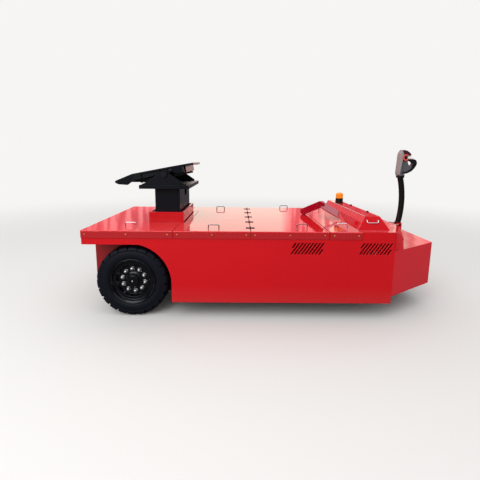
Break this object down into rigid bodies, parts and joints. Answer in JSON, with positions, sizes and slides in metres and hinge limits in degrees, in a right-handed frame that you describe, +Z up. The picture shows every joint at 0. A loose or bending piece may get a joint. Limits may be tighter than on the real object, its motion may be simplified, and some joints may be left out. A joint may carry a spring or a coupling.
{
  "type": "electric airport tow tractor",
  "caption": "Low pedestrian-controlled electric tow tractor with a steering tiller at its nose and a lifting column carrying a tilting fifth-wheel coupling.",
  "frame": {"origin": "on the ground below the middle of the bounding box", "axes": "+X towards the nose, +Y to the machine's left, +Z up"},
  "size_m": [3.548, 1.6, 1.668],
  "materials": {
    "body_red": "gloss",
    "deck_red": "high gloss",
    "chassis_paint": "satin",
    "black_steel": "satin",
    "lift_black": "satin",
    "wire_bright": "polished",
    "tyre_rubber": "matte",
    "rim_black": "satin",
    "hub_steel": "satin",
    "cast_parts": "rough",
    "beacon_black": "matte",
    "amber": "clear gloss",
    "battery_case": "matte",
    "head_grey": "satin",
    "hood_maroon": "gloss",
    "grip_black": "satin",
    "lever_pale": "satin",
    "button_red": "gloss"
  },
  "bodies": {
    "chassis": {"chassis_frame": "chassis_paint", "belly_plate": "black_steel", "side_panel_right": "body_red", "side_panel_left": "body_red", "nose_shell": "body_red", "rear_deck_plate": "deck_red", "front_deck_plate": "deck_red", "deck_handles": "wire_bright", "control_housing": "body_red", "housing_handles": "wire_bright", "beacon_base": "beacon_black", "beacon_lens": "amber", "column_guide": "body_red", "battery_pack": "battery_case", "rear_axle": "cast_parts", "slewing_ring": "cast_parts"},
    "rear_cover": {"cover_rear": "deck_red", "cover_rear_hinges": "black_steel"},
    "front_cover": {"cover_front": "deck_red", "cover_front_hinges": "black_steel", "cover_arm": "body_red"},
    "lift": {"lifting_column": "lift_black", "coupling_base": "lift_black", "coupling_brackets": "lift_black", "coupling_pins": "hub_steel"},
    "coupling": {"coupling_plate": "lift_black", "coupling_jaws": "cast_parts", "release_handle": "black_steel"},
    "steering": {"steering_fork": "cast_parts", "steering_pedestal": "body_red"},
    "front_wheels": {"front_tyres": "tyre_rubber", "front_hubs": "cast_parts"},
    "tiller": {"tiller_arm": "grip_black", "tiller_head": "head_grey", "tiller_hood": "hood_maroon", "tiller_loop": "grip_black", "tiller_levers": "lever_pale", "tiller_button": "button_red"},
    "rear_wheel_right": {"rear_tyre_right": "tyre_rubber", "rear_rim_right": "rim_black", "rear_hub_right": "hub_steel"},
    "rear_wheel_left": {"rear_tyre_left": "tyre_rubber", "rear_rim_left": "rim_black", "rear_hub_left": "hub_steel"}
  },
  "joints": [
    {"name": "rear_wheel_right_spin", "type": "hinge", "parent": "chassis", "child": "rear_wheel_right", "pos_m": [-1.328, -0.654, 0.355], "axis": [0, 1, 0], "continuous": true},
    {"name": "rear_wheel_left_spin", "type": "hinge", "parent": "chassis", "child": "rear_wheel_left", "pos_m": [-1.328, 0.654, 0.355], "axis": [0, 1, 0], "continuous": true},
    {"name": "rear_cover_hinge", "type": "hinge", "parent": "chassis", "child": "rear_cover", "pos_m": [-0.177, 0, 0.883], "axis": [0, 1, 0], "range_deg": [0, 80]},
    {"name": "front_cover_hinge", "type": "hinge", "parent": "chassis", "child": "front_cover", "pos_m": [-0.177, 0, 0.883], "axis": [0, -1, 0], "range_deg": [0, 80]},
    {"name": "lift_slide", "type": "slide", "parent": "chassis", "child": "lift", "axis": [0, 0, 1], "range_m": [-0.2, 0.12]},
    {"name": "coupling_tilt", "type": "hinge", "parent": "lift", "child": "coupling", "pos_m": [-1.062, 0, 1.385], "axis": [0, 1, 0], "range_deg": [0, 22]},
    {"name": "steering_turn", "type": "hinge", "parent": "chassis", "child": "steering", "pos_m": [1.56, 0, 0.15], "axis": [0, 0, 1], "range_deg": [-80, 80]},
    {"name": "front_wheels_spin", "type": "hinge", "parent": "steering", "child": "front_wheels", "pos_m": [1.56, 0, 0.15], "axis": [0, 1, 0], "continuous": true},
    {"name": "tiller_lean", "type": "hinge", "parent": "steering", "child": "tiller", "pos_m": [1.6, 0, 0.8], "axis": [0, 1, 0], "range_deg": [0, 75], "stiffness_Nm_per_rad": 90, "springref_deg": -22.92}
  ]
}
